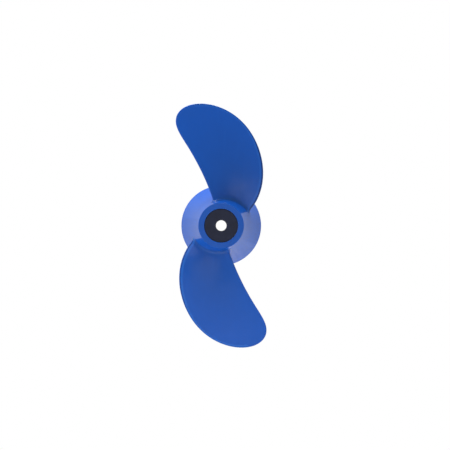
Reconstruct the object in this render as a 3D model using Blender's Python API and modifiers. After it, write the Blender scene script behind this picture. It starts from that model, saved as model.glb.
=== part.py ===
"""Two-blade propeller of a small electric outboard motor.

The propeller is one injection moulding in glossy blue plastic, a flared hollow hub
with two swept-back blades, and a dark plastic core pressed into its middle. The core
carries the shaft bore and the slot for the drive pin.

Each piece is modelled about its own Z axis, the shaft: z = 0 is the drive face that
seats on the motor, and +Z points to the nut end. The empty shaft_line then lays the
shaft along Y, so the nut end faces -Y and the blades run up and down.
"""
import math

import bmesh
import bpy
import numpy as np

MM = 0.001

# Driving dimensions of the hub
HUB_FRONT = 54.0 * MM          # drive face to the nut end
RIM_DEPTH = 6.0 * MM           # how far the rim reaches past the drive face
END_RING_RADIUS = 23.6 * MM
RIM_RADIUS = 42.7 * MM
FLARE_START_SLOPE = 0.25       # radius gained per length just behind the end ring
WALL = 3.2 * MM
BOSS_WALL = 3.2 * MM
RIM_WALL = 2.4 * MM
POCKET_FLOOR_DEPTH = 16.0 * MM  # from the nut end to the floor of the hollow
RIB_THICKNESS = 2.5 * MM
RIB_PAIRS = 3
FIRST_RIB_ANGLE = 30.0         # degrees; the second pair stands upright, under the blades
END_RING_ROUNDING = 0.6 * MM
RIM_ROUNDING = 0.8 * MM

# Driving dimensions of the core
CORE_RADIUS = 17.3 * MM
BORE_RADIUS = 5.65 * MM
CORE_RECESS = 0.5 * MM         # the core sits this far below the end ring
SEAT_GAP = 0.3 * MM            # between the core and its socket
CORE_CHAMFER = 0.5 * MM
PIN_SLOT_WIDTH = 5.5 * MM
PIN_SLOT_DEPTH = 5.0 * MM

# Driving dimensions of a blade; its angles are counter-clockwise from +X, seen from the nut end
TIP_RADIUS = 130.0 * MM
ROUND_START = 80.0 * MM        # radius where the outline starts to close into the round tip
TIP_FULLNESS = 5.0             # 2 would close the tip as a true ellipse
PITCH = 95.0 * MM
MID_ANGLE_AT_AXIS = 54.2
SWEEP_PER_MM = 0.380           # degrees that the mid-chord line swings back per mm of radius
HALF_ANGLE_AT_AXIS = 49.4
TAPER_PER_MM = 0.276           # degrees that half the chord loses per mm of radius
TRAILING_ROOT_ANGLE = 107.0
TRAILING_ROOT_HEIGHT = 44.8 * MM
ROOT_THICKNESS = 6.5 * MM
TIP_THICKNESS = 2.6 * MM
LEADING_EDGE_THICKNESS = 2.6 * MM
TRAILING_EDGE_THICKNESS = 1.6 * MM
ROOT_FILLET = 4.0 * MM
BLADE_START = 24.0 * MM        # the blade is modelled from here, inside the hub's wall

# Fineness of the curved faces
TURN_STEPS = 72
BORE_STEPS = 48
CHORD_CELLS = 16

HUB_LENGTH = HUB_FRONT + RIM_DEPTH
SOCKET_RADIUS = CORE_RADIUS + SEAT_GAP
FLARE_CURVE = (
    RIM_RADIUS - END_RING_RADIUS - FLARE_START_SLOPE * HUB_LENGTH
) / HUB_LENGTH ** 2


def clear_scene():
    for old in list(bpy.data.objects):
        bpy.data.objects.remove(old)


def new_collection(name):
    collection = bpy.data.collections.new(name)
    bpy.context.scene.collection.children.link(collection)
    return collection


def principled(name, color, roughness):
    material = bpy.data.materials.new(name)
    material.use_nodes = True
    shader = material.node_tree.nodes["Principled BSDF"]
    shader.inputs["Base Color"].default_value = (*color, 1.0)
    shader.inputs["Roughness"].default_value = roughness
    shader.inputs["Metallic"].default_value = 0.0
    return material


def add_object(name, mesh, collection, parent):
    thing = bpy.data.objects.new(name, mesh)
    collection.objects.link(thing)
    thing.parent = parent
    return thing


def as_tool(thing):
    """Keep a shape that only cuts or joins another out of the model."""
    thing.display_type = "WIRE"
    thing.hide_render = True
    return thing


def boolean(target, tool, operation):
    modifier = target.modifiers.new(tool.name, "BOOLEAN")
    modifier.operation = operation
    modifier.solver = "EXACT"
    modifier.object = tool


def quarter_round(centre_radius, centre_height, rounding, start_angle, steps=4):
    """Points on a quarter circle that runs clockwise, as (radius, height)."""
    angles = np.radians(start_angle - np.linspace(0.0, 90.0, steps + 1))
    return [
        (centre_radius + rounding * math.cos(a), centre_height + rounding * math.sin(a))
        for a in angles
    ]


def turned(name, outline, steps, collection, parent):
    """A closed (radius, height) outline, outer side running down, turned about Z."""
    mesh = bpy.data.meshes.new(name)
    points = [(radius, 0.0, height) for radius, height in outline]
    count = len(points)
    edges = [(i, (i + 1) % count) for i in range(count)]
    mesh.from_pydata(points, edges, [])
    thing = add_object(name, mesh, collection, parent)
    screw = thing.modifiers.new("turn", "SCREW")
    screw.axis = "Z"
    screw.steps = steps
    screw.render_steps = steps
    screw.use_merge_vertices = True
    screw.merge_threshold = 0.00001
    return thing


def box(name, size, location, turn, collection, parent):
    mesh = bpy.data.meshes.new(name)
    bm = bmesh.new()
    bmesh.ops.create_cube(bm, size=1.0)
    bmesh.ops.scale(bm, vec=size, verts=bm.verts)
    bm.to_mesh(mesh)
    bm.free()
    thing = add_object(name, mesh, collection, parent)
    thing.location = location
    thing.rotation_euler = (0.0, 0.0, math.radians(turn))
    return thing


def flare_radius(height):
    """Outer radius of the hub: a parabola that opens from the end ring to the rim."""
    depth = HUB_FRONT - height
    return END_RING_RADIUS + FLARE_START_SLOPE * depth + FLARE_CURVE * depth ** 2


def hub_outline():
    """The end ring, the flare down to the rim, the recess in the rim, and the core's socket."""
    flare_heights = np.linspace(HUB_FRONT - 2.0 * END_RING_ROUNDING, -RIM_DEPTH + RIM_ROUNDING, 15)
    outline = quarter_round(
        END_RING_RADIUS - END_RING_ROUNDING, HUB_FRONT - END_RING_ROUNDING, END_RING_ROUNDING, 90.0
    )
    outline += [(flare_radius(z), z) for z in flare_heights]
    outline += quarter_round(
        RIM_RADIUS - RIM_ROUNDING, -RIM_DEPTH + RIM_ROUNDING, RIM_ROUNDING, 0.0, 3
    )[1:]
    outline += [
        (RIM_RADIUS - RIM_WALL, -RIM_DEPTH),
        (flare_radius(0.0) - RIM_WALL, 0.0),
        (SOCKET_RADIUS, 0.0),
        (SOCKET_RADIUS, HUB_FRONT),
    ]
    return outline


def hollow_outline():
    """The ring of space between the shell and the boss, open to the motor side."""
    boss_radius = SOCKET_RADIUS + BOSS_WALL
    floor = HUB_FRONT - POCKET_FLOOR_DEPTH
    mouth = -1.0 * MM
    outline = [(flare_radius(z) - WALL, z) for z in np.linspace(floor, 0.0, 9)]
    outline += [(flare_radius(0.0) - WALL, mouth), (boss_radius, mouth), (boss_radius, floor)]
    return outline


def fillet(distance):
    """How far a quarter-round fillet stands off a face at a distance from the root."""
    reach = np.clip(1.0 - distance / ROOT_FILLET, 0.0, 1.0)
    return ROOT_FILLET * (1.0 - np.sqrt(1.0 - reach ** 2))


def blade_radii():
    """Radii of the blade's stations: close at the root, wide on the blade, closing on the tip."""
    root = np.linspace(BLADE_START, 38.0 * MM, 15)
    middle = np.linspace(38.0 * MM, ROUND_START, 8)[1:]
    closing = np.sin(np.radians(np.linspace(0.0, 90.0, 13)))[1:]
    return np.concatenate([root, middle, ROUND_START + (TIP_RADIUS - ROUND_START) * closing])


def blade_sheets():
    """The blade's pressure and suction faces as two grids of points.

    The pressure face is a helicoid: height grows with angle by the pitch. The outline
    swings back with radius and tapers, and its round tip is much fuller than an ellipse.
    The suction face stands off the pressure face along the normal by a thickness that is
    greatest at mid-chord, and both turn in on a small radius where they meet at the edge.
    """
    radius = blade_radii()[:, None]
    across = np.sin(np.radians(np.linspace(-90.0, 90.0, CHORD_CELLS + 1)))[None, :]
    rise = PITCH / (2.0 * math.pi)

    closing = np.clip((radius - ROUND_START) / (TIP_RADIUS - ROUND_START), 0.0, 1.0)
    half_angle = np.radians(HALF_ANGLE_AT_AXIS - TAPER_PER_MM * radius / MM)
    shut = np.sqrt(1.0 - closing ** TIP_FULLNESS)
    half_angle = half_angle * shut
    mid_angle = np.radians(MID_ANGLE_AT_AXIS + SWEEP_PER_MM * radius / MM)

    arc_per_angle = np.sqrt(radius ** 2 + rise ** 2)
    angle = mid_angle + across * half_angle
    height = TRAILING_ROOT_HEIGHT + rise * (angle - math.radians(TRAILING_ROOT_ANGLE))
    root_distance = radius - flare_radius(height)
    stand_off = fillet(root_distance)
    angle = angle + across * stand_off / arc_per_angle
    height = TRAILING_ROOT_HEIGHT + rise * (angle - math.radians(TRAILING_ROOT_ANGLE))

    edge_distance = (1.0 - np.abs(across)) * half_angle * arc_per_angle
    edge_thickness = LEADING_EDGE_THICKNESS * (1.0 - across) + TRAILING_EDGE_THICKNESS * (1.0 + across)
    edge_radius = edge_thickness / 4.0
    turn_in = np.sqrt(1.0 - np.clip(1.0 - edge_distance / edge_radius, 0.0, 1.0) ** 2)
    spread = np.sqrt(1.0 - np.clip(1.0 - edge_distance / ROOT_FILLET, 0.0, 1.0) ** 2)

    out = np.clip((radius - BLADE_START) / (TIP_RADIUS - BLADE_START), 0.0, 1.0)
    middle_thickness = ROOT_THICKNESS + (TIP_THICKNESS - ROOT_THICKNESS) * out
    belly = np.maximum(middle_thickness - 2.0 * edge_radius, 0.0) * (1.0 - across ** 2) * shut
    thickness = 2.0 * edge_radius + belly

    pressure_offset = -edge_radius * (1.0 - turn_in) + stand_off * spread
    suction_offset = edge_radius + (thickness - edge_radius) * turn_in + stand_off * spread

    length = np.sqrt(rise ** 2 + radius ** 2)
    normal = np.stack([
        rise * np.sin(angle) / length,
        -rise * np.cos(angle) / length,
        np.broadcast_to(radius / length, angle.shape),
    ], axis=-1)
    face = np.stack([radius * np.cos(angle), radius * np.sin(angle), height], axis=-1)
    pressure = face + normal * pressure_offset[..., None]
    suction = face - normal * suction_offset[..., None]
    return pressure, suction


def blade_mesh():
    """A loft of the blade's sections: both sheets, welded at the edge and capped in the hub."""
    pressure, suction = blade_sheets()
    rows, columns = pressure.shape[:2]
    bm = bmesh.new()
    front = [[bm.verts.new(p) for p in row] for row in pressure]
    back = [[bm.verts.new(p) for p in row] for row in suction]
    for i in range(rows - 1):
        for j in range(columns - 1):
            bm.faces.new((front[i][j], front[i + 1][j], front[i + 1][j + 1], front[i][j + 1]))
            bm.faces.new((back[i][j], back[i][j + 1], back[i + 1][j + 1], back[i + 1][j]))
    for j in range(columns - 1):
        bm.faces.new((front[0][j], front[0][j + 1], back[0][j + 1], back[0][j]))
    bmesh.ops.remove_doubles(bm, verts=bm.verts, dist=0.01 * MM)
    bmesh.ops.recalc_face_normals(bm, faces=bm.faces)
    mesh = bpy.data.meshes.new("blade")
    bm.to_mesh(mesh)
    bm.free()
    return mesh


def make_moulding(parts, tools, shaft_line, plastic):
    """Hub and both blades in one, hollowed from the motor side between six ribs."""
    moulding = turned("propeller_moulding", hub_outline(), TURN_STEPS, parts, shaft_line)
    moulding.data.materials.append(plastic)

    shape = blade_mesh()
    for name, turn in (("upper_blade", 0.0), ("lower_blade", math.pi)):
        blade = as_tool(add_object(name, shape, tools, shaft_line))
        blade.rotation_euler = (0.0, 0.0, turn)
        boolean(moulding, blade, "UNION")

    hollow = as_tool(turned("hub_hollow", hollow_outline(), TURN_STEPS, tools, shaft_line))
    rib_size = (3.0 * RIM_RADIUS, RIB_THICKNESS, 2.0 * HUB_LENGTH)
    for pair in range(RIB_PAIRS):
        turn = FIRST_RIB_ANGLE + pair * 180.0 / RIB_PAIRS
        slab = as_tool(box(f"rib_slab_{pair + 1}", rib_size, (0.0, 0.0, 0.0), turn, tools, shaft_line))
        boolean(hollow, slab, "DIFFERENCE")
    boolean(moulding, hollow, "DIFFERENCE")
    return moulding


def make_core(parts, tools, shaft_line, plastic):
    """A thick sleeve with the shaft bore, slotted across its motor end for the drive pin."""
    top = HUB_FRONT - CORE_RECESS
    outline = [
        (BORE_RADIUS + CORE_CHAMFER, top),
        (CORE_RADIUS - CORE_CHAMFER, top),
        (CORE_RADIUS, top - CORE_CHAMFER),
        (CORE_RADIUS, 0.0),
        (BORE_RADIUS + CORE_CHAMFER, 0.0),
        (BORE_RADIUS, CORE_CHAMFER),
        (BORE_RADIUS, top - CORE_CHAMFER),
    ]
    core = turned("drive_core", outline, BORE_STEPS, parts, shaft_line)
    core.data.materials.append(plastic)
    slot_size = (2.5 * CORE_RADIUS, PIN_SLOT_WIDTH, 2.0 * PIN_SLOT_DEPTH)
    slot = as_tool(box("pin_slot", slot_size, (0.0, 0.0, 0.0), 0.0, tools, shaft_line))
    boolean(core, slot, "DIFFERENCE")
    return core


def main():
    clear_scene()
    parts = new_collection("boat_propeller")
    tools = new_collection("construction_shapes")
    shaft_line = bpy.data.objects.new("shaft_line", None)
    parts.objects.link(shaft_line)
    shaft_line.rotation_euler = (math.radians(90.0), 0.0, 0.0)

    blue = principled("blue_gloss_plastic", (0.012, 0.120, 0.590), 0.20)
    dark = principled("dark_core_plastic", (0.015, 0.022, 0.050), 0.42)
    make_moulding(parts, tools, shaft_line, blue)
    make_core(parts, tools, shaft_line, dark)


main()
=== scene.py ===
"""The boat propeller's looks: the blue moulding and its dark core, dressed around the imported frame.

The frame's shaft runs along Y: the nut end faces -Y, the motor side +Y, and the blades
run up and down. Angles are counter-clockwise from +X, as seen from the nut end.
"""

import bpy
import numpy as np
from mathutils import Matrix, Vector


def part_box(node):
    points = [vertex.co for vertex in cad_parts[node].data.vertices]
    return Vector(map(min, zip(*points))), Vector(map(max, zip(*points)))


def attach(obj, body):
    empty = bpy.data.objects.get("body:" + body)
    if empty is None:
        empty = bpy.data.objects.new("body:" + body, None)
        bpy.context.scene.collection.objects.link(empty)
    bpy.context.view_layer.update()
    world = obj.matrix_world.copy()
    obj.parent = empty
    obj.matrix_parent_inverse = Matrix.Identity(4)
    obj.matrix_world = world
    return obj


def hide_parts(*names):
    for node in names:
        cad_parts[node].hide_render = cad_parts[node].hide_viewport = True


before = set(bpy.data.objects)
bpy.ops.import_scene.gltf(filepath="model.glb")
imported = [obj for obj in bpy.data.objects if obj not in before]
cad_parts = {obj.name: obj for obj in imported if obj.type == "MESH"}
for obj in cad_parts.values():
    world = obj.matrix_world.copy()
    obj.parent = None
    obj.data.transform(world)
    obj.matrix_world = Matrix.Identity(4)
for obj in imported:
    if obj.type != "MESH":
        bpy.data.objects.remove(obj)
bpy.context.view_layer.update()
MM = 0.001

# The hub: one half of the moulding. A hollow shell flares from the end ring to the rim,
# with a boss in its middle for the core and six ribs between them, moulded in one shot
# of glossy blue plastic with every corner slightly rounded.
moulding_low, moulding_high = (np.array(corner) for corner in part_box("propeller_moulding"))
core_low, core_high = (np.array(corner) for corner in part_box("drive_core"))
NUT_END = moulding_low[1]
RIM_END = moulding_high[1]
DRIVE_FACE = core_high[1]
HUB_LENGTH = RIM_END - NUT_END
CORE_RADIUS = (core_high[0] - core_low[0]) / 2.0
SOCKET_RADIUS = CORE_RADIUS + 0.3 * MM
BOSS_RADIUS = SOCKET_RADIUS + 3.2 * MM
END_RING_RADIUS = 23.6 * MM
RIM_RADIUS = 42.7 * MM
FLARE_START_SLOPE = 0.25
FLARE_CURVE = (RIM_RADIUS - END_RING_RADIUS - FLARE_START_SLOPE * HUB_LENGTH) / HUB_LENGTH ** 2
WALL = 3.2 * MM
RIM_WALL = 2.4 * MM
POCKET_FLOOR = NUT_END + 16.0 * MM
NUT_END_EDGE = 0.3 * MM        # this and the next six: how far a corner's rounding reaches
RIM_OUTER_EDGE = 0.8 * MM
RIM_INNER_EDGE = 0.6 * MM
RECESS_EDGE = 0.2 * MM
FLOOR_EDGE = 1.2 * MM
BOSS_EDGE = 0.5 * MM
SOCKET_EDGE = 0.3 * MM
TURN_STEPS = 288
FLARE_POINTS = 60
WALL_POINTS = 24
RIB_COUNT = 6
RIB_ANGLES = np.radians(30.0 + 360.0 / RIB_COUNT * np.arange(RIB_COUNT))
RIB_HALF_THICKNESS = 1.25 * MM
RIB_FILLET = 1.4 * MM
RIB_EDGE = 0.5 * MM
RIB_SINK = 0.9 * MM            # how far a rib's ends reach into the walls they grow from
RIB_POINTS = 29
SHELL_TINT_THICKNESS = 3.7     # mm; the blade thickness whose tint the shell, boss and ribs share
FAR = 9.0                      # mm; stands for anywhere away from a leading edge


def flare_radius(y):
    """Radius of the hub's outside: a parabola in the depth behind the nut end."""
    depth = y - NUT_END
    return END_RING_RADIUS + FLARE_START_SLOPE * depth + FLARE_CURVE * depth ** 2


def flare_slope(y):
    """Radius gained per length along the shaft: the derivative of the flare's parabola."""
    return FLARE_START_SLOPE + 2.0 * FLARE_CURVE * (y - NUT_END)


def rounded(corners, cells=6, support=0.25):
    """A closed outline with each corner cut by a quadratic curve of the given size.

    Each corner is (radius, y, size). The curve starts and ends a size away from the
    corner and has the corner as its middle control point. One more point stands a
    quarter of the size beyond each end, so that the flats beside it shade flat.
    """
    corners = np.array(corners, dtype=float)
    places, sizes = corners[:, :2], corners[:, 2:]
    before = np.roll(places, 1, axis=0) - places
    after = np.roll(places, -1, axis=0) - places
    before /= np.linalg.norm(before, axis=1, keepdims=True)
    after /= np.linalg.norm(after, axis=1, keepdims=True)
    t = np.linspace(0.0, 1.0, cells + 1)[None, :, None]
    start = (places + before * sizes)[:, None, :]
    end = (places + after * sizes)[:, None, :]
    curve = start * (1.0 - t) ** 2 + places[:, None, :] * 2.0 * t * (1.0 - t) + end * t ** 2
    first = (places + before * sizes * (1.0 + support))[:, None, :]
    last = (places + after * sizes * (1.0 + support))[:, None, :]
    return np.concatenate([first, curve, last], axis=1)


def turned_points(outline, steps):
    """Every point (radius, y) of an outline swung round the shaft in equal steps."""
    angle = np.linspace(0.0, 2.0 * np.pi, steps, endpoint=False)[:, None]
    radius, y = outline[None, :, 0], outline[None, :, 1]
    return np.stack(
        [radius * np.cos(angle), np.broadcast_to(y, (steps, len(outline))), radius * np.sin(angle)],
        axis=-1,
    )


def grid_faces(rows, columns, wrap_rows, wrap_columns):
    """The quads between neighbouring rows and columns of a grid, joined round where it wraps."""
    row = np.arange(rows if wrap_rows else rows - 1)[:, None]
    column = np.arange(columns if wrap_columns else columns - 1)[None, :]
    next_row, next_column = (row + 1) % rows, (column + 1) % columns
    quads = np.stack([
        row * columns + column,
        row * columns + next_column,
        next_row * columns + next_column,
        next_row * columns + column,
    ], axis=-1)
    return quads.reshape(-1, 4)


def make_piece(name, points, faces, material, tint_thickness_and_shade=SHELL_TINT_THICKNESS, lip=FAR):
    """One smooth object from an array of points and a list of face arrays.

    Two values stay on its points for the blue plastic: the thickness in mm whose tint it
    shows there, raised in the blades' root fillets to paint shade into the crease, and the
    distance in mm from a blade's leading edge.
    """
    mesh = bpy.data.meshes.new(name)
    flat = points.reshape(-1, 3)
    mesh.from_pydata(flat.tolist(), [], [face for array in faces for face in array.tolist()])
    mesh.shade_smooth()
    mesh.materials.append(material)
    for key, value in (("tint_thickness_and_shade", tint_thickness_and_shade), ("from_leading_edge", lip)):
        attribute = mesh.attributes.new(key, "FLOAT", "POINT")
        attribute.data.foreach_set("value", np.broadcast_to(value, len(flat)).astype(np.float32))
    piece = bpy.data.objects.new(name, mesh)
    bpy.context.scene.collection.objects.link(piece)
    return piece


def hub_shell():
    """The hub's cross-section, swung round the shaft.

    Down the flare, over the rim, into the recess, down the inner wall to the pocket
    floor, back up the boss, and through the socket to the end ring.
    """
    recess_mouth = flare_radius(DRIVE_FACE) - RIM_WALL
    inner_mouth = flare_radius(DRIVE_FACE) - WALL
    inner_floor = flare_radius(POCKET_FLOOR) - WALL
    corners = [
        (END_RING_RADIUS, NUT_END, NUT_END_EDGE),
        (RIM_RADIUS, RIM_END, RIM_OUTER_EDGE),
        (RIM_RADIUS - RIM_WALL, RIM_END, RIM_INNER_EDGE),
        (recess_mouth, DRIVE_FACE, RECESS_EDGE),
        (inner_mouth, DRIVE_FACE, RECESS_EDGE),
        (inner_floor, POCKET_FLOOR, FLOOR_EDGE),
        (BOSS_RADIUS, POCKET_FLOOR, FLOOR_EDGE),
        (BOSS_RADIUS, DRIVE_FACE, BOSS_EDGE),
        (SOCKET_RADIUS, DRIVE_FACE, SOCKET_EDGE),
        (SOCKET_RADIUS, NUT_END, SOCKET_EDGE),
    ]
    bends = rounded(corners)
    flare_y = np.linspace(bends[0, -1, 1], bends[1, 0, 1], FLARE_POINTS)
    flare = np.stack([flare_radius(flare_y), flare_y], axis=-1)
    wall_y = np.linspace(bends[4, -1, 1], bends[5, 0, 1], WALL_POINTS)[1:-1]
    wall = np.stack([flare_radius(wall_y) - WALL, wall_y], axis=-1)
    outline = np.concatenate([bends[0], flare[1:-1], *bends[1:5], wall, *bends[5:]])
    return turned_points(outline, TURN_STEPS), [grid_faces(TURN_STEPS, len(outline), True, True)]


def fillet(distance, size):
    """How far a quarter-round fillet stands off a wall, by the distance from its corner."""
    reach = np.clip(1.0 - distance / size, 0.0, 1.0)
    return size * (1.0 - np.sqrt(1.0 - reach ** 2))


def rib_shells():
    """Six upright walls from the boss to the shell, as rings stacked from the floor to the mouth.

    Each ring runs outwards along one side of the rib and back along the other. Half the
    thickness grows by a fillet near the boss, the shell and the floor, and shrinks by a
    small rounding at the mouth.
    """
    eased = 0.5 - 0.5 * np.cos(np.linspace(0.0, np.pi, RIB_POINTS))
    y = POCKET_FLOOR - RIB_SINK + (DRIVE_FACE - POCKET_FLOOR + RIB_SINK) * eased[:, None]
    inner = BOSS_RADIUS - RIB_SINK
    outer = flare_radius(y) - WALL + RIB_SINK
    across = np.concatenate([eased, eased[::-1]])[None, :]
    side = np.repeat([1.0, -1.0], len(eased))[None, :]
    radius = inner + (outer - inner) * across
    half = RIB_HALF_THICKNESS - fillet(DRIVE_FACE - y, RIB_EDGE)
    half = half + fillet(radius - BOSS_RADIUS, RIB_FILLET)
    half = half + fillet(flare_radius(y) - WALL - radius, RIB_FILLET)
    half = (half + fillet(y - POCKET_FLOOR, RIB_FILLET)) * side

    turn = RIB_ANGLES[:, None, None]
    points = np.stack([
        radius * np.cos(turn) - half * np.sin(turn),
        np.broadcast_to(y, (RIB_COUNT, *radius.shape)),
        radius * np.sin(turn) + half * np.cos(turn),
    ], axis=-1)
    rows, columns = radius.shape
    first = np.arange(columns // 2 - 1)
    cap = np.stack([first, first + 1, columns - 2 - first, columns - 1 - first], axis=-1)
    one_rib = np.concatenate([
        grid_faces(rows, columns, False, True), cap[:, ::-1], cap + (rows - 1) * columns
    ])
    shift = np.arange(RIB_COUNT)[:, None, None] * rows * columns
    return points, [(one_rib[None] + shift).reshape(-1, 4)]


def add_node(tree, kind, inputs=None, **settings):
    """A new shader node whose inputs each take a value or another node's output."""
    node = tree.nodes.new("ShaderNode" + kind)
    for name, value in settings.items():
        setattr(node, name, value)
    for key, value in (inputs or {}).items():
        if isinstance(value, bpy.types.NodeSocket):
            tree.links.new(value, node.inputs[key])
        else:
            node.inputs[key].default_value = value
    return node


def combine(tree, operation, *values):
    """The sum, product or other result of one, two or three values."""
    return add_node(tree, "Math", dict(enumerate(values)), operation=operation).outputs[0]


def remap(tree, value, old_low, old_high, new_low, new_high):
    """A value carried smoothly from one range to another and held at its ends."""
    node = add_node(tree, "MapRange", {
        "Value": value, "From Min": old_low, "From Max": old_high,
        "To Min": new_low, "To Max": new_high,
    }, interpolation_type="SMOOTHSTEP")
    return node.outputs["Result"]


def mix_colour(tree, factor, first, second):
    """A colour between two colours, which are a mix node's sockets 6 and 7."""
    node = add_node(tree, "Mix", data_type="RGBA")
    for socket, value in ((node.inputs[0], factor), (node.inputs[6], first), (node.inputs[7], second)):
        if isinstance(value, bpy.types.NodeSocket):
            tree.links.new(value, socket)
        else:
            socket.default_value = value
    return node.outputs[2]


def noise(tree, place, scale, detail=2.0, roughness=0.5):
    """Soft cloudy noise between 0 and 1; scale is the number of clouds per metre."""
    node = add_node(tree, "TexNoise", {
        "Vector": place, "Scale": scale, "Detail": detail, "Roughness": roughness
    })
    return node.outputs["Fac"]


def height_and_distance(tree, place):
    """A place's height, and its distance from the shaft: the length of its x and z alone."""
    parts = add_node(tree, "SeparateXYZ", {0: place}).outputs
    flat_place = add_node(tree, "CombineXYZ", {0: parts["X"], 2: parts["Z"]})
    distance = add_node(tree, "VectorMath", {0: flat_place.outputs[0]}, operation="LENGTH")
    return parts["Z"], distance.outputs["Value"]


# Blue plastic: a thin wall lets more light back out than a thick one, so the blades' roots
# look duller than their tips, and the upper blade's root fillet is painted a shade darker in
# its crease. A painted glow at the thin leading edge stands for light coming through it, the
# lip behind it is painted dark as shade, darkest on the upper blade, and a painted highlight
# runs as a lighter line along the lip, brightest on the lower blade. The gloss has faint marks.
THIN_BLUE = (0.010, 0.128, 0.660, 1.0)
THICK_BLUE = (0.013, 0.065, 0.240, 1.0)
THIN_TO_THICK = (2.6, 8.0)                  # mm of plastic
DULLING_POWER = 1.53                        # above 1: it dulls late, close to the thick end
CLOUDS = 45.0                               # to a metre, as FLOW_MARKS, SMUDGES and the rest are
CLOUD_BLUE = (0.010, 0.100, 0.480, 1.0)
CLOUD_SHARE = 0.10                          # the most of its blue that a cloud adds
FLOW_MARKS = 420.0
FLOW_STRETCH = (1.0, 1.0, 0.12)             # draws the marks out along the blades
FLOW_BLUE = (0.018, 0.160, 0.700, 1.0)
FLOW_SHARE = 0.12
BLADE_CHANGE = (-20.0 * MM, 20.0 * MM)      # heights between the lower blade and the upper one
# The lighter line is a painted highlight where the rounded edge catches the light, brightest on the
# lower blade, which faces it.
HIGHLIGHT_BLUE = (0.042, 0.255, 0.900, 1.0)
HIGHLIGHT_START = (2.4, 3.0)                     # mm from the edge; where the painted highlight starts
HIGHLIGHT_END = (4.4, 6.2)                       # mm; and where it dies out
HIGHLIGHT_SHARE = (0.36, 0.18)                   # on the lower blade and on the upper one
# The dark lip is painted shade: the upper blade's rounded leading edge turns away from the lamps.
LIP_SHADE_BLUE = (0.001, 0.042, 0.240, 1.0)
LIP_SHADE_END = (1.8, 2.9)                     # mm; where the lip's painted shade ends
LIP_SHADE_SHARE = (0.7, 1.0)                   # on the lower blade and on the upper one, whose edge faces away from the light
DRAWN_IN_RADII = (85.0 * MM, 105.0 * MM)    # where lip and line draw in towards the tip
TIP_DRAWN_IN = 1.0                          # mm; by how much they draw in there
LOWER_DRAWN_IN = 0.4                        # mm; and all along the lower blade
EDGE_GLOW_BLUE = (0.002, 0.200, 0.750, 1.0)
EDGE_GLOW_END = (0.2, 0.9)                       # mm; where the painted glow of light through the edge dies out
SMUDGES = 70.0
GLOSS = (0.13, 0.21)                        # roughness of clean plastic and of a smudge
SCUFFS = 1500.0
SCUFF_TURN = (0.3, 0.9, 0.2)                # radians; sets which way the scuffs run
SCUFF_STRETCH = (1.0, 1.0, 0.04)
SCUFF_ROUGHNESS = 0.14                      # how much a scuff adds
LIP_SHADE_ROUGHNESS = 0.05                     # and how much the lip with painted shade adds
WAVES = 520.0
GRAIN = 2600.0
BLUE_SPECULAR = 0.32
blue = bpy.data.materials.new("blue_moulding_plastic")
blue.use_nodes = True
tree = blue.node_tree
place = add_node(tree, "TexCoord").outputs["Object"]
tint_and_shade = add_node(tree, "Attribute", attribute_name="tint_thickness_and_shade").outputs["Fac"]
lip = add_node(tree, "Attribute", attribute_name="from_leading_edge").outputs["Fac"]
thick = add_node(tree, "MapRange", {
    "Value": tint_and_shade, "From Min": THIN_TO_THICK[0], "From Max": THIN_TO_THICK[1]
})
dulled = combine(tree, "POWER", thick.outputs["Result"], DULLING_POWER)
tint = mix_colour(tree, dulled, THIN_BLUE, THICK_BLUE)

# Cloudy patches, and flow marks drawn out along the blades.
clouds = noise(tree, place, CLOUDS, 3.0)
tint = mix_colour(tree, remap(tree, clouds, 0.35, 0.7, 0.0, CLOUD_SHARE), tint, CLOUD_BLUE)
stretched = add_node(tree, "Mapping", {"Vector": place, "Scale": FLOW_STRETCH})
flow = noise(tree, stretched.outputs["Vector"], FLOW_MARKS, 3.0, 0.6)
tint = mix_colour(tree, remap(tree, flow, 0.5, 0.8, 0.0, FLOW_SHARE), tint, FLOW_BLUE)

# The leading edge, from the lighter line of painted highlight outwards over the lip's painted
# shade to the painted glow at the edge. Where lip and line draw in towards the edge, a place
# counts as that much further from it.
height, from_shaft = height_and_distance(tree, place)
drawn_in = combine(
    tree, "ADD",
    remap(tree, from_shaft, *DRAWN_IN_RADII, 0.0, TIP_DRAWN_IN),
    remap(tree, height, *BLADE_CHANGE, LOWER_DRAWN_IN, 0.0),
)
drawn_in_distance = combine(tree, "ADD", lip, drawn_in)
# Painted highlight along the lip.
painted_highlight = combine(
    tree, "MULTIPLY", remap(tree, drawn_in_distance, *HIGHLIGHT_START, 0.0, 1.0), remap(tree, drawn_in_distance, *HIGHLIGHT_END, 1.0, 0.0)
)
painted_highlight = combine(tree, "MULTIPLY", painted_highlight, remap(tree, height, *BLADE_CHANGE, *HIGHLIGHT_SHARE))
tint = mix_colour(tree, painted_highlight, tint, HIGHLIGHT_BLUE)
# Painted shade on the lip, darkest on the upper blade.
painted_lip_shade = remap(tree, drawn_in_distance, *LIP_SHADE_END, 1.0, 0.0)
painted_lip_shade = combine(tree, "MULTIPLY", painted_lip_shade, remap(tree, height, *BLADE_CHANGE, *LIP_SHADE_SHARE))
tint = mix_colour(tree, painted_lip_shade, tint, LIP_SHADE_BLUE)
# A painted glow at the edge itself stands for light coming through the thin plastic.
tint = mix_colour(tree, remap(tree, lip, *EDGE_GLOW_END, 1.0, 0.0), tint, EDGE_GLOW_BLUE)

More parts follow.
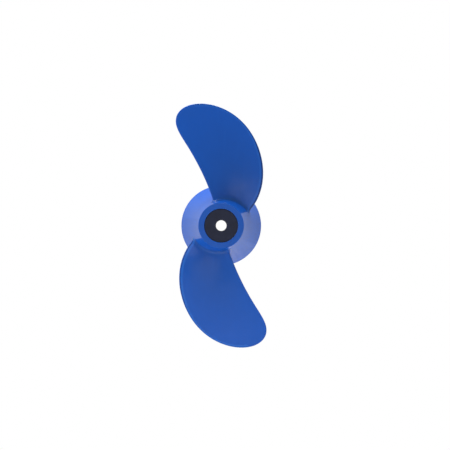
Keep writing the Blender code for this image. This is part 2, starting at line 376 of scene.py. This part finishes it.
# Roughness: handled smudges, hairline scuffs in some of the cloudy patches, the lip with painted shade.
smudges = noise(tree, place, SMUDGES, 4.0, 0.55)
gloss = remap(tree, smudges, 0.35, 0.7, *GLOSS)
scuff_place = add_node(tree, "Mapping", {
    "Vector": place, "Rotation": SCUFF_TURN, "Scale": SCUFF_STRETCH
})
scuffs = noise(tree, scuff_place.outputs["Vector"], SCUFFS)
scuffed = remap(tree, scuffs, 0.68, 0.76, 0.0, SCUFF_ROUGHNESS)
scuffed = combine(tree, "MULTIPLY", scuffed, remap(tree, clouds, 0.45, 0.6, 0.0, 1.0))
gloss = combine(tree, "ADD", gloss, scuffed)
gloss = combine(tree, "MULTIPLY_ADD", painted_lip_shade, LIP_SHADE_ROUGHNESS, gloss)

# Relief: the soft waves of a moulded surface, and a finer grain on them.
waves = add_node(tree, "Bump", {
    "Height": noise(tree, place, WAVES), "Strength": 0.05, "Distance": 0.2 * MM
})
bumps = add_node(tree, "Bump", {
    "Height": noise(tree, place, GRAIN), "Strength": 0.03, "Distance": 0.05 * MM,
    "Normal": waves.outputs[0],
})
shader = tree.nodes["Principled BSDF"]
tree.links.new(tint, shader.inputs["Base Color"])
tree.links.new(gloss, shader.inputs["Roughness"])
tree.links.new(bumps.outputs[0], shader.inputs["Normal"])
shader.inputs["Specular IOR Level"].default_value = BLUE_SPECULAR

for piece_name, (piece_points, piece_faces) in (("hub_shell", hub_shell()), ("hub_ribs", rib_shells())):
    piece = make_piece(piece_name, piece_points, piece_faces, blue)
    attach(piece, "root")
    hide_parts("propeller_moulding")

# The blades: the other half of the moulding, each swept back like a sickle so that weeds
# slide off. The face towards the nut end is a true screw surface, the back is bellied,
# and the roots run into the hub with a soft fillet.
TIP_RADIUS = 130.0 * MM
ROUND_START = 80.0 * MM
TIP_FULLNESS = 5.0
MIDDLE_START = 54.2            # degrees; the chord's middle angle, carried on to the shaft
MIDDLE_SWEEP = 380.0           # degrees that it gains per metre of radius
HALF_START = 49.4              # degrees; half the chord's angle, carried on to the shaft
HALF_LOSS = 276.0              # degrees that it loses per metre of radius
PITCH = 95.0 * MM
RISE = PITCH / (2.0 * np.pi)
TRAILING_ROOT_ANGLE = np.radians(107.0)
TRAILING_ROOT_Y = -44.8 * MM
THINNING_START = 24.0 * MM     # the radius from which a blade gets thinner
ROOT_THICKNESS = 6.5 * MM
TIP_THICKNESS = 2.6 * MM
LEADING_EDGE_RADIUS = 1.3 * MM
TRAILING_EDGE_RADIUS = 0.8 * MM
ROOT_FILLET = 5.0 * MM
LEADING_EDGE_FILLET = 4.0 * MM
TRAILING_EDGE_FILLET = 4.6 * MM
FILLET_PULL = 1.1              # weight of the fillet's control point; 1 makes a parabola
FILLET_SINK = 0.03 * MM        # how far the fillet's foot lies under the flare
CAP_SINK = 1.2 * MM            # how far the cap lies inside the hub's wall
ROOT_SEARCH = (18.0 * MM, 46.0 * MM)
HALVINGS = 40
CHORD_CELLS = 64
FILLET_RINGS = 13
INNER_RINGS = 30
INNER_END = 60.0 * MM          # the radius where the rings have become circles round the shaft
MIDDLE_RINGS = 30
TIP_RINGS = 28
TINY = 1e-9                    # keeps a quotient finite
EDGE_THINNING = 0.15           # share of the tint's thickness lost towards the edges
FILLET_SHADE = 1.5             # mm that the fillet adds to it: painted shade in the root's crease
LOWER_THICKEST = 6.3           # mm; the lower blade's root is no duller than this, which keeps the painted root shade on the upper blade
ROOT_DRAWN_IN = 3.0            # mm; by how much the lip's painted shade draws in where it meets the hub


def blade_outline(radius):
    """Middle angle of the chord, half its angle, and how far the round tip has closed.

    The middle angle grows straight with radius and half the angle shrinks straight, until
    the tip closes, gently at first and then on a round that is much fuller than an ellipse.
    """
    closing = np.clip((radius - ROUND_START) / (TIP_RADIUS - ROUND_START), 0.0, 1.0)
    shut = np.sqrt(1.0 - closing ** TIP_FULLNESS)
    middle = np.radians(MIDDLE_START + MIDDLE_SWEEP * radius)
    open_half = np.radians(HALF_START - HALF_LOSS * radius)
    return middle, open_half, closing, shut


def edge_distance(radius, across):
    """Distance from a place on the blade to its outline, along the chord or towards the tip.

    Along the chord it is an arc's length. Towards the tip it is how far the closing round
    is from shut, divided by how steeply that changes.
    """
    _, open_half, closing, shut = blade_outline(radius)
    arc = np.sqrt(radius ** 2 + RISE ** 2)
    chordwise = (1.0 - np.abs(across)) * open_half * shut * arc
    level = shut ** 2 - (across * shut) ** 2
    steepness = np.hypot(
        TIP_FULLNESS * closing ** (TIP_FULLNESS - 1.0) / (TIP_RADIUS - ROUND_START),
        2.0 * across * shut / (open_half * arc),
    )
    tipwise = np.where(closing > 0.0, level / np.maximum(steepness, TINY), 1.0)
    return np.maximum(np.minimum(chordwise, tipwise), 0.0)


def middle_thickness(radius):
    """Thickness at mid-chord: it falls straight from the root to the tip."""
    out = np.clip((radius - THINNING_START) / (TIP_RADIUS - THINNING_START), 0.0, 1.0)
    return ROOT_THICKNESS + (TIP_THICKNESS - ROOT_THICKNESS) * out


def blade_skin(radius, across, side):
    """Points on a blade's skin, by radius and place across the chord.

    Across runs from -1 at the leading edge to 1 at the trailing edge. Depth follows the
    angle by the pitch. Side is 1 on the face towards the nut end and -1 on the bellied
    back, which stands off by the thickness; within an edge radius of the outline both
    turn in on a quarter circle and meet.
    """
    middle, open_half, _, shut = blade_outline(radius)
    angle = middle + across * open_half * shut
    y = TRAILING_ROOT_Y - RISE * (angle - TRAILING_ROOT_ANGLE)

    edge = LEADING_EDGE_RADIUS + (TRAILING_EDGE_RADIUS - LEADING_EDGE_RADIUS) * (across + 1.0) / 2.0
    turn_in = np.sqrt(1.0 - np.clip(1.0 - edge_distance(radius, across) / edge, 0.0, 1.0) ** 2)
    belly = np.maximum(middle_thickness(radius) - 2.0 * edge, 0.0) * (1.0 - across ** 2) * shut
    stand_off = -edge + turn_in * np.where(side > 0, edge, -edge - belly)

    length = np.sqrt(RISE ** 2 + radius ** 2)
    normal = np.stack(
        [RISE * np.sin(angle) / length, -radius / length, -RISE * np.cos(angle) / length], axis=-1
    )
    face = np.stack([radius * np.cos(angle), y, radius * np.sin(angle)], axis=-1)
    return face + normal * stand_off[..., None]


def hub_normal(points):
    """The outward direction of the flare nearest a point: the gradient of radius less flare."""
    round_radius = np.hypot(points[:, 0], points[:, 2])
    direction = np.stack(
        [points[:, 0] / round_radius, -flare_slope(points[:, 1]), points[:, 2] / round_radius], axis=-1
    )
    return direction / np.linalg.norm(direction, axis=1, keepdims=True)


def onto_hub(points, sink):
    """Points moved straight out from the shaft until they lie a little under the flare."""
    scale = (flare_radius(points[:, 1]) - sink) / np.hypot(points[:, 0], points[:, 2])
    return np.stack([points[:, 0] * scale, points[:, 1], points[:, 2] * scale], axis=-1)


def root_radii(across, side):
    """For each place round the section, the radius where the blade's skin meets the flare.

    Found by halving a bracket: the skin is inside the hub at its low end and outside at
    its high end.
    """
    low, high = (np.full(across.shape, radius) for radius in ROOT_SEARCH)
    for _ in range(HALVINGS):
        middle = (low + high) / 2.0
        points = blade_skin(middle, across, side)
        inside = np.hypot(points[:, 0], points[:, 2]) < flare_radius(points[:, 1])
        low = np.where(inside, middle, low)
        high = np.where(inside, high, middle)
    return (low + high) / 2.0


def blade_shell():
    """A blade as rings round its section, from a cap inside the hub's wall to the tip.

    The root fillet is a conic from the flare to the skin, with the line where the two
    meet as its control point, so that it leaves both without a crease. It is widest at
    mid-chord and shrinks towards both edges as a half circle does. Also gives the
    thickness whose tint shows at each point, which is less towards the edges and more in
    the fillet, where the extra is painted shade in the crease, and the distance from the
    leading edge, made longer towards the hub.
    """
    face_across = np.sin(np.linspace(-np.pi / 2.0, np.pi / 2.0, CHORD_CELLS + 1))
    across = np.concatenate([face_across, face_across[-2:0:-1]])
    side = np.concatenate([-np.ones(CHORD_CELLS + 1), np.ones(CHORD_CELLS - 1)])
    stations = len(across)

    meet_radius = root_radii(across, side)
    meet = blade_skin(meet_radius, across, side)
    along = np.roll(meet, -1, axis=0) - np.roll(meet, 1, axis=0)
    outward = np.cross(along, hub_normal(meet))
    outward /= np.linalg.norm(outward, axis=1, keepdims=True)
    outward *= np.sign(np.sum(outward * (meet - meet.mean(axis=0)), axis=1).sum())
    edge_fillet = np.where(across < 0.0, LEADING_EDGE_FILLET, TRAILING_EDGE_FILLET)
    reach = np.maximum(ROOT_FILLET * np.sqrt(1.0 - across ** 2), edge_fillet)
    on_flare = onto_hub(meet + outward * reach[:, None], FILLET_SINK)
    skin_start = meet_radius + reach
    on_skin = blade_skin(skin_start, across, side)

    t = np.linspace(0.0, 1.0, FILLET_RINGS)[:, None, None]
    pull = 2.0 * FILLET_PULL * t * (1.0 - t)
    share = (1.0 - t) ** 2 + pull + t ** 2
    root = (on_flare * (1.0 - t) ** 2 + meet * pull + on_skin * t ** 2) / share
    cap = onto_hub(on_flare, CAP_SINK)[None]

    spread = np.linspace(0.0, 1.0, INNER_RINGS + 1)[1:, None]
    inner_radii = skin_start + (INNER_END - skin_start) * spread
    middle_radii = np.linspace(INNER_END, ROUND_START, MIDDLE_RINGS + 1)[1:, None] * np.ones(stations)
    closing = np.sin(np.linspace(0.0, np.pi / 2.0, TIP_RINGS + 1))[1:-1, None] * np.ones(stations)
    tip_radii = ROUND_START + (TIP_RADIUS - ROUND_START) * closing
    radii = np.concatenate([inner_radii, middle_radii, tip_radii])
    rings = np.concatenate([cap, root, blade_skin(radii, across[None, :], side[None, :])])
    tip = blade_skin(np.array([TIP_RADIUS]), np.zeros(1), np.ones(1))
    points = np.concatenate([rings.reshape(-1, 3), tip])

    root_rings = FILLET_RINGS + 1
    root_share = np.linspace(0.0, 1.0, root_rings)[:, None]
    all_radii = np.concatenate([meet_radius + root_share * reach, radii])
    lip = edge_distance(all_radii, across[None, :]) / MM + np.where(across < 0.0, 0.0, FAR)[None, :]
    lip[:root_rings] += ROOT_DRAWN_IN * (1.0 - root_share)
    # Painted shade: the tint's thickness rises in the root fillet, most at its middle ring.
    fillet_shade = 1.0 - np.abs(np.linspace(-1.0, 1.0, root_rings))
    tint_and_shade = middle_thickness(all_radii) / MM * (1.0 - EDGE_THINNING * across ** 2)
    tint_and_shade[:root_rings] += FILLET_SHADE * fillet_shade[:, None] * (1.0 - across ** 4)
    lip = np.append(lip.reshape(-1), FAR)
    tint_and_shade = np.append(tint_and_shade.reshape(-1), TIP_THICKNESS / MM)

    count = len(rings)
    station = np.arange(stations)
    last = (count - 1) * stations
    tip_fan = np.stack([
        last + station, last + (station + 1) % stations, np.full(stations, count * stations)
    ], axis=-1)
    i = np.arange(1, CHORD_CELLS - 1)
    cap_quads = np.stack([i, 2 * CHORD_CELLS - i, 2 * CHORD_CELLS - i - 1, i + 1], axis=-1)
    cap_ends = np.array([
        [0, 2 * CHORD_CELLS - 1, 1],
        [CHORD_CELLS - 1, CHORD_CELLS + 1, CHORD_CELLS],
    ])
    faces = [grid_faces(count, stations, False, True), tip_fan, cap_quads, cap_ends]
    return points, faces, tint_and_shade, lip


upper_points, blade_faces, blade_tint_and_shade, blade_lip = blade_shell()
HALF_TURN = np.array([-1.0, 1.0, -1.0])
# The lower blade's tint is capped, so the painted root shade darkens only the upper blade.
for blade_name, blade_points, tint_and_shade in (
    ("upper_blade", upper_points, blade_tint_and_shade),
    ("lower_blade", upper_points * HALF_TURN, np.minimum(blade_tint_and_shade, LOWER_THICKEST)),
):
    blade = make_piece(blade_name, blade_points, blade_faces, blue, tint_and_shade, blade_lip)
    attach(blade, "root")
    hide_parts("propeller_moulding")

# The core: a thick black sleeve pressed into the boss. The shaft runs through its bore, and
# a slot across its motor end straddles the drive pin. Moulded in nylon, its ends faced flat.
NUT_FACE = core_low[1]
BORE_RADIUS = 5.65 * MM
CORE_EDGE = 0.5 * MM
SLOT_HALF_WIDTH = 2.75 * MM
SLOT_DEPTH = 5.0 * MM
SLOT_CORNER = 0.35 * MM
SLOT_LIP = 0.45 * MM
SLOT_DRAFT = 0.05 * MM
SLOT_FLOOR_COLUMNS = (0.8 * MM, 1.7 * MM)
SLOT_LAST_COLUMN = 3.6 * MM
QUARTER_POINTS = 6
END_POINTS = 12
LAND_CELLS = 36


def core_shell():
    """The sleeve as a closed grid: its cross-section's rows by columns round the shaft.

    The columns bend so that some follow the slot's edges at every radius: a column at
    height t above the slot's middle stands at the angle whose sine is t over the radius.
    The slot's own section gives a depth for each t, and a row takes a share of it: all of
    it on the motor end, none on the nut end, and evenly less along the side and the bore.
    """
    phi = np.linspace(0.0, np.pi / 2.0, QUARTER_POINTS)
    corner_t = SLOT_HALF_WIDTH - SLOT_CORNER - SLOT_DRAFT + SLOT_CORNER * np.sin(phi)
    corner_depth = SLOT_DEPTH - SLOT_CORNER * (1.0 - np.cos(phi))
    lip_t = SLOT_HALF_WIDTH + SLOT_LIP * (1.0 - np.cos(phi))
    lip_depth = SLOT_LIP * (1.0 - np.sin(phi))
    half_t = np.concatenate([SLOT_FLOOR_COLUMNS, corner_t, lip_t, [SLOT_LAST_COLUMN]])
    half_depth = np.concatenate([[SLOT_DEPTH, SLOT_DEPTH], corner_depth, lip_depth, [0.0]])
    slot_t = np.concatenate([-half_t[::-1], [0.0], half_t])
    slot_depth = np.concatenate([half_depth[::-1], [SLOT_DEPTH], half_depth])

    bends = rounded([
        (CORE_RADIUS, NUT_FACE, CORE_EDGE),
        (CORE_RADIUS, DRIVE_FACE, CORE_EDGE),
        (BORE_RADIUS, DRIVE_FACE, CORE_EDGE),
        (BORE_RADIUS, NUT_FACE, CORE_EDGE),
    ])
    across_end = np.linspace(CORE_RADIUS, BORE_RADIUS, END_POINTS)[1:-1]
    end_rows = np.stack([across_end, np.full(len(across_end), DRIVE_FACE)], axis=-1)
    outline = np.concatenate([bends[0], bends[1], end_rows, bends[2], bends[3]])[::-1]
    radius, y = outline[:, :1], outline[:, 1:]
    share = (y - NUT_FACE - 2.0 * CORE_EDGE) / (DRIVE_FACE - NUT_FACE - 4.0 * CORE_EDGE)
    share = np.clip(share, 0.0, 1.0)

    start = np.arcsin(slot_t[-1] / radius)
    land = np.linspace(0.0, 1.0, LAND_CELLS + 1)[None, 1:-1]
    right = np.arcsin(slot_t[None, :] / radius)
    top = start + (np.pi - 2.0 * start) * land
    angle = np.concatenate([right, top, right + np.pi, top + np.pi], axis=1)
    no_depth = np.zeros(LAND_CELLS - 1)
    depth = np.concatenate([slot_depth, no_depth, slot_depth, no_depth])[None, :]
    points = np.stack([radius * np.cos(angle), y - share * depth, radius * np.sin(angle)], axis=-1)
    return points, [grid_faces(*points.shape[:2], True, True)]


# Black nylon: near-black with soft clouds and fine paler specks drawn out along the shaft,
# satin, and ringed round the shaft by the facing tool.
CORE_CLOUDS = 110.0            # clouds to a metre
DARK_CLOUD = (0.010, 0.0145, 0.042, 1.0)
PALE_CLOUD = (0.0135, 0.0190, 0.052, 1.0)
SPECKS = 1800.0                # to a metre
SPECK_STRETCH = (1.0, 0.25, 1.0)
SPECK_COLOUR = (0.034, 0.040, 0.078, 1.0)
SPECK_SHARE = 0.35
SATIN = (0.36, 0.48)           # roughness between the specks and on them
FACING_RINGS = 14000.0         # radians per metre of radius, so a ring each 0.45 mm
CORE_SPECULAR = 0.40
dark = bpy.data.materials.new("dark_core_nylon")
dark.use_nodes = True
tree = dark.node_tree
place = add_node(tree, "TexCoord").outputs["Object"]
fibres = add_node(tree, "Mapping", {"Vector": place, "Scale": SPECK_STRETCH})
specks = noise(tree, fibres.outputs["Vector"], SPECKS, 3.0, 0.6)
clouds = noise(tree, place, CORE_CLOUDS)
tint = mix_colour(tree, remap(tree, clouds, 0.3, 0.7, 0.0, 1.0), DARK_CLOUD, PALE_CLOUD)
tint = mix_colour(tree, remap(tree, specks, 0.62, 0.75, 0.0, SPECK_SHARE), tint, SPECK_COLOUR)
dull = remap(tree, specks, 0.3, 0.7, *SATIN)
from_shaft = height_and_distance(tree, place)[1]
rings = combine(tree, "SINE", combine(tree, "MULTIPLY", from_shaft, FACING_RINGS))
facing = add_node(tree, "Bump", {"Height": rings, "Strength": 0.08, "Distance": 0.02 * MM})
bumps = add_node(tree, "Bump", {
    "Height": specks, "Strength": 0.12, "Distance": 0.05 * MM, "Normal": facing.outputs[0]
})
shader = tree.nodes["Principled BSDF"]
tree.links.new(tint, shader.inputs["Base Color"])
tree.links.new(dull, shader.inputs["Roughness"])
tree.links.new(bumps.outputs[0], shader.inputs["Normal"])
shader.inputs["Specular IOR Level"].default_value = CORE_SPECULAR

core = make_piece("core_sleeve", *core_shell(), dark)
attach(core, "root")
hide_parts("drive_core")

# The studio: a plain pale floor well below the lower blade, a long lens that looks straight
# along the shaft at the nut end, and soft lamps at the left, overhead, in front, low on the
# right and, faintly, behind. The surround is nearly even, and white to the camera.
SENSOR_WIDTH = 36.0            # mm
CAMERA_DISTANCE = 2.2
CAMERA_X = 4.02 * MM
CAMERA_Z = 0.63 * MM
FRAME_WIDTH = 468.85 * MM      # what the picture spans at the depth of the blades' roots
camera_data = bpy.data.cameras.new("camera")
camera_data.sensor_width = SENSOR_WIDTH
camera_data.lens = SENSOR_WIDTH * (CAMERA_DISTANCE + TRAILING_ROOT_Y) / FRAME_WIDTH
camera_data.clip_end = 100.0
camera = bpy.data.objects.new("camera", camera_data)
camera.location = (CAMERA_X, -CAMERA_DISTANCE, CAMERA_Z)
camera.rotation_euler = (np.pi / 2.0, 0.0, 0.0)
bpy.context.scene.collection.objects.link(camera)
bpy.context.scene.camera = camera

FLOOR_DEPTH = 300.0 * MM
FLOOR_RADIUS = 500.0 * MM
FLOOR_SIDES = 128
FLOOR_GREY = (0.78, 0.78, 0.78, 1.0)
FLOOR_ROUGHNESS = 0.8
pale = bpy.data.materials.new("pale_floor")
pale.use_nodes = True
shader = pale.node_tree.nodes["Principled BSDF"]
shader.inputs["Base Color"].default_value = FLOOR_GREY
shader.inputs["Roughness"].default_value = FLOOR_ROUGHNESS
floor_turn = np.linspace(0.0, 2.0 * np.pi, FLOOR_SIDES, endpoint=False)
floor_points = np.stack([
    FLOOR_RADIUS * np.cos(floor_turn),
    FLOOR_RADIUS * np.sin(floor_turn),
    np.full(FLOOR_SIDES, -FLOOR_DEPTH),
], axis=-1)
floor_mesh = bpy.data.meshes.new("floor")
floor_mesh.from_pydata(floor_points.tolist(), [], [list(range(FLOOR_SIDES))])
floor_mesh.materials.append(pale)
floor = bpy.data.objects.new("floor", floor_mesh)
bpy.context.scene.collection.objects.link(floor)

LAMPS = (
    # azimuth from +X and height above the horizon in degrees, distance and side in metres, watts
    ("left", 180.0, 15.0, 1.9, 0.75, 10.0),
    ("front_left", 234.0, 8.0, 1.9, 0.60, 0.75),
    ("high_front_left", 240.0, 30.0, 1.9, 0.50, 0.8),
    ("beside_camera", 253.0, 0.0, 1.9, 0.70, 0.75),
    ("below_camera", 262.0, -8.0, 1.9, 0.50, 0.2),
    ("behind_camera", 270.0, 0.0, 2.6, 0.90, 0.75),
    ("low_front", 300.0, -30.0, 1.9, 0.50, 0.5),
    ("mid_front", 300.0, -18.0, 1.9, 0.40, 0.3),
    ("mid_front_right", 306.0, -10.0, 1.9, 0.40, 0.25),
    ("low_front_right", 315.0, -15.0, 1.9, 0.50, 0.3),
    ("low_right", 0.0, -10.0, 1.5, 0.50, 1.6),
    ("overhead_left", 135.0, 75.0, 1.9, 0.75, 13.0),
    ("overhead_front", 225.0, 75.0, 1.9, 0.75, 7.5),
    ("window", 290.0, 82.0, 1.9, 0.25, 6.5),
    ("overhead_right", 45.0, 75.0, 1.9, 0.75, 16.0),
    ("back_left", 130.0, 20.0, 1.9, 0.75, 0.15),
    ("back_right", 50.0, -30.0, 1.9, 0.75, 0.3),
)
for lamp_name, azimuth, climb, distance, side, watts in LAMPS:
    azimuth, climb = np.radians((azimuth, climb))
    towards = Vector((
        np.cos(climb) * np.cos(azimuth), np.cos(climb) * np.sin(azimuth), np.sin(climb)
    ))
    lamp_data = bpy.data.lights.new(lamp_name, "AREA")
    lamp_data.shape = "SQUARE"
    lamp_data.size = side
    lamp_data.energy = watts
    lamp = bpy.data.objects.new(lamp_name, lamp_data)
    lamp.location = towards * distance
    lamp.rotation_euler = towards.to_track_quat("Z", "Y").to_euler()
    lamp.visible_camera = False
    bpy.context.scene.collection.objects.link(lamp)

SURROUND = 0.51
SURROUND_SLOPE = (-0.05, 0.15, -0.25)    # brighter at the left, behind and below
bpy.context.scene.view_settings.view_transform = "Standard"
world = bpy.data.worlds.new("studio")
world.use_nodes = True
bpy.context.scene.world = world
tree = world.node_tree
leaning = add_node(tree, "VectorMath", {
    0: add_node(tree, "TexCoord").outputs["Generated"], 1: SURROUND_SLOPE
}, operation="DOT_PRODUCT")
surround = combine(tree, "ADD", leaning.outputs["Value"], SURROUND)
seen = add_node(tree, "LightPath").outputs["Is Camera Ray"]
white = add_node(tree, "Mix", {"Factor": seen, "A": surround, "B": 1.0}, data_type="FLOAT")
background = tree.nodes["Background"]
background.inputs["Color"].default_value = (1.0, 1.0, 1.0, 1.0)
tree.links.new(white.outputs["Result"], background.inputs["Strength"])
